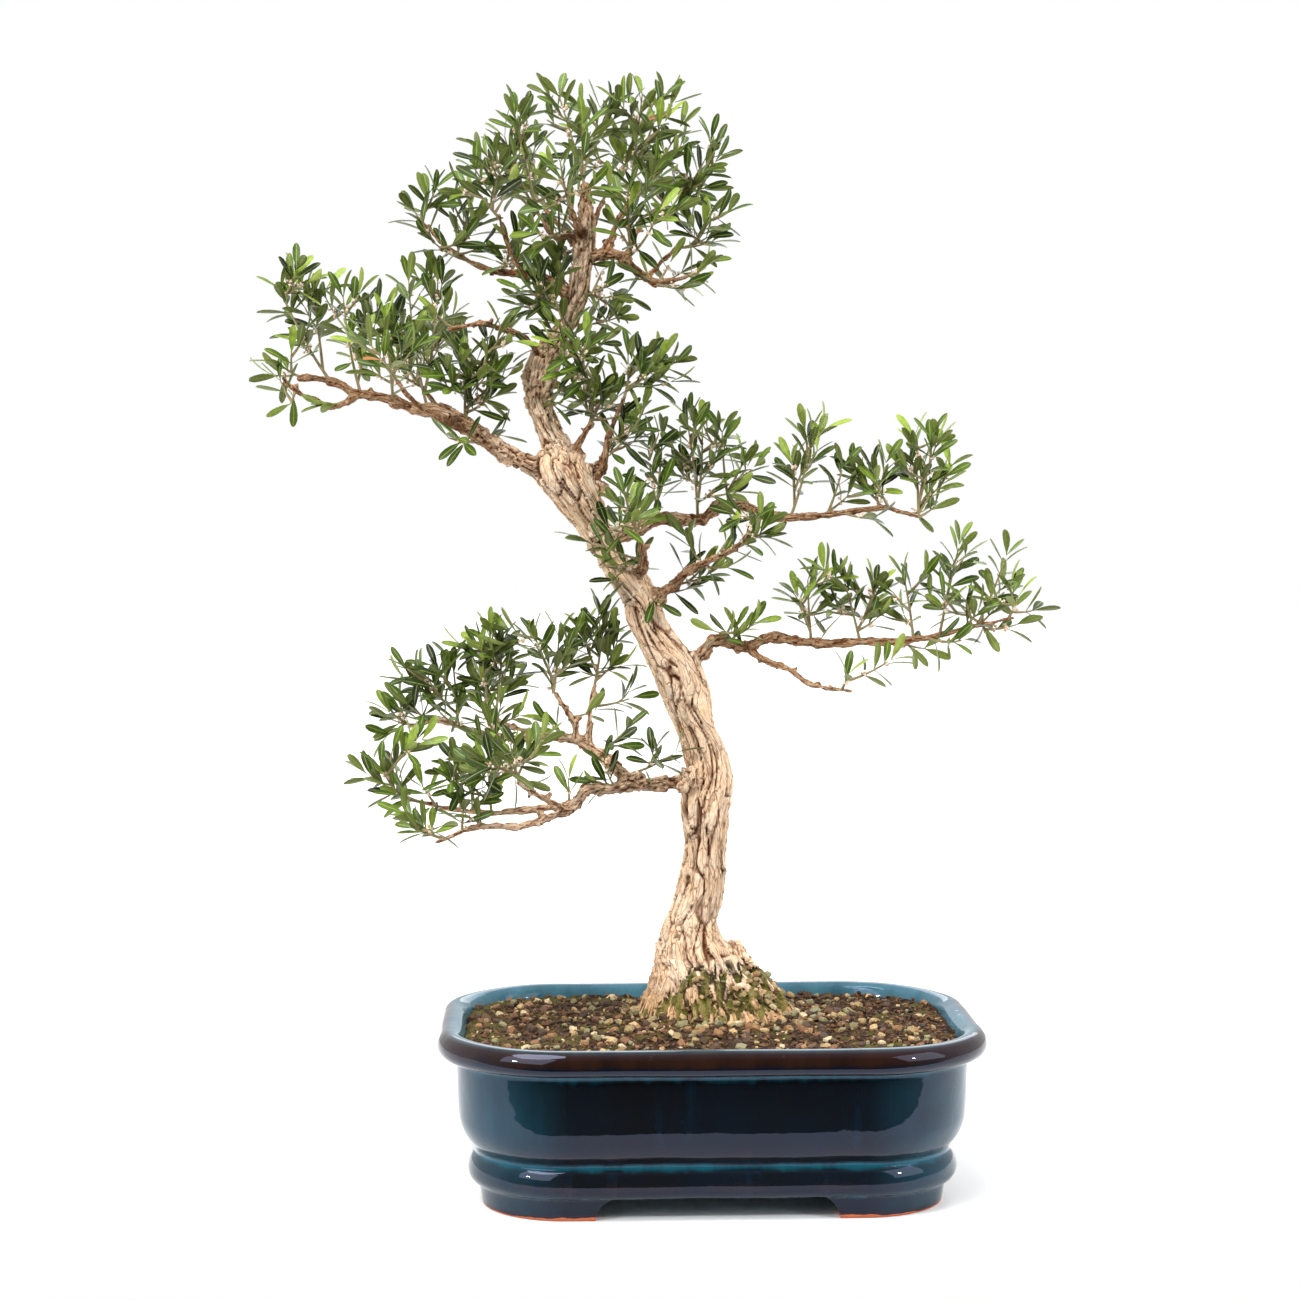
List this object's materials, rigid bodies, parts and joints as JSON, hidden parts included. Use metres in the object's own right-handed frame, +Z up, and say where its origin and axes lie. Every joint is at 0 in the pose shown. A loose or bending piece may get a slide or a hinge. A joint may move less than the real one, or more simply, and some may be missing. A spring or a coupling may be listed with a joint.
{
  "type": "boxwood bonsai",
  "caption": "Small-leaved boxwood trained as a bonsai, with a leaning corky trunk, spread branches and leaf pads, in a glazed rectangular pot of soil.",
  "frame": {"origin": "on the surface that the pot stands on, under the middle of the whole tree and pot's box", "axes": "+Z up, +X to the right seen from the front, -Y towards the viewer of the front"},
  "size_m": [0.584, 0.28, 0.8188],
  "materials": {
    "glaze": "very glossy deep teal-blue glaze that breaks brown at the rim, over fired clay",
    "net": "black plastic net",
    "soil": "rough crumbly earth with small stones and moss",
    "bark": "pale tan corky bark in long plates with dark cracks",
    "leaf_deep": "satin deep green leaf",
    "leaf_mid": "satin mid green leaf",
    "leaf_bright": "satin young yellow-green leaf"
  },
  "bodies": {
    "root": {"pot": "glaze", "drain_screen_left": "net", "drain_screen_right": "net", "soil": "soil", "wood": "bark", "crown_spray_01": "leaf_deep", "crown_spray_02": "leaf_mid", "crown_spray_03": "leaf_bright", "crown_spray_04": "leaf_deep", "crown_spray_05": "leaf_mid", "crown_spray_06": "leaf_bright", "crown_spray_07": "leaf_deep", "crown_spray_08": "leaf_mid", "crown_spray_09": "leaf_bright", "crown_spray_10": "leaf_deep", "crown_spray_11": "leaf_mid", "crown_spray_12": "leaf_bright", "crown_spray_13": "leaf_deep", "crown_spray_14": "leaf_mid", "crown_spray_15": "leaf_bright", "left_spray_01": "leaf_deep", "left_spray_02": "leaf_mid", "left_spray_03": "leaf_bright", "left_spray_04": "leaf_deep", "left_spray_05": "leaf_mid", "left_spray_06": "leaf_bright", "left_spray_07": "leaf_deep", "left_spray_08": "leaf_mid", "left_spray_09": "leaf_bright", "left_spray_10": "leaf_deep", "leader_spray_01": "leaf_mid", "leader_spray_02": "leaf_bright", "leader_spray_03": "leaf_deep", "trunk_spray_01": "leaf_mid", "middle_spray_01": "leaf_bright", "middle_spray_02": "leaf_deep", "middle_spray_03": "leaf_mid", "upper_right_spray_01": "leaf_bright", "upper_right_spray_02": "leaf_deep", "upper_right_spray_03": "leaf_mid", "upper_right_spray_04": "leaf_bright", "small_right_spray_01": "leaf_deep", "lower_right_spray_01": "leaf_mid", "lower_right_spray_02": "leaf_bright", "lower_right_spray_03": "leaf_deep", "lower_right_spray_04": "leaf_mid", "lower_right_spray_05": "leaf_bright", "lower_right_spray_06": "leaf_deep", "lower_right_spray_07": "leaf_mid", "lower_right_spray_08": "leaf_bright", "lower_left_spray_01": "leaf_deep", "lower_left_spray_02": "leaf_mid", "lower_left_spray_03": "leaf_bright", "lower_left_spray_04": "leaf_deep", "lower_left_spray_05": "leaf_mid", "lower_left_spray_06": "leaf_bright", "lower_left_spray_07": "leaf_deep", "lower_left_spray_08": "leaf_mid", "lower_left_spray_09": "leaf_bright", "lower_left_spray_10": "leaf_deep"}
  },
  "joints": []
}
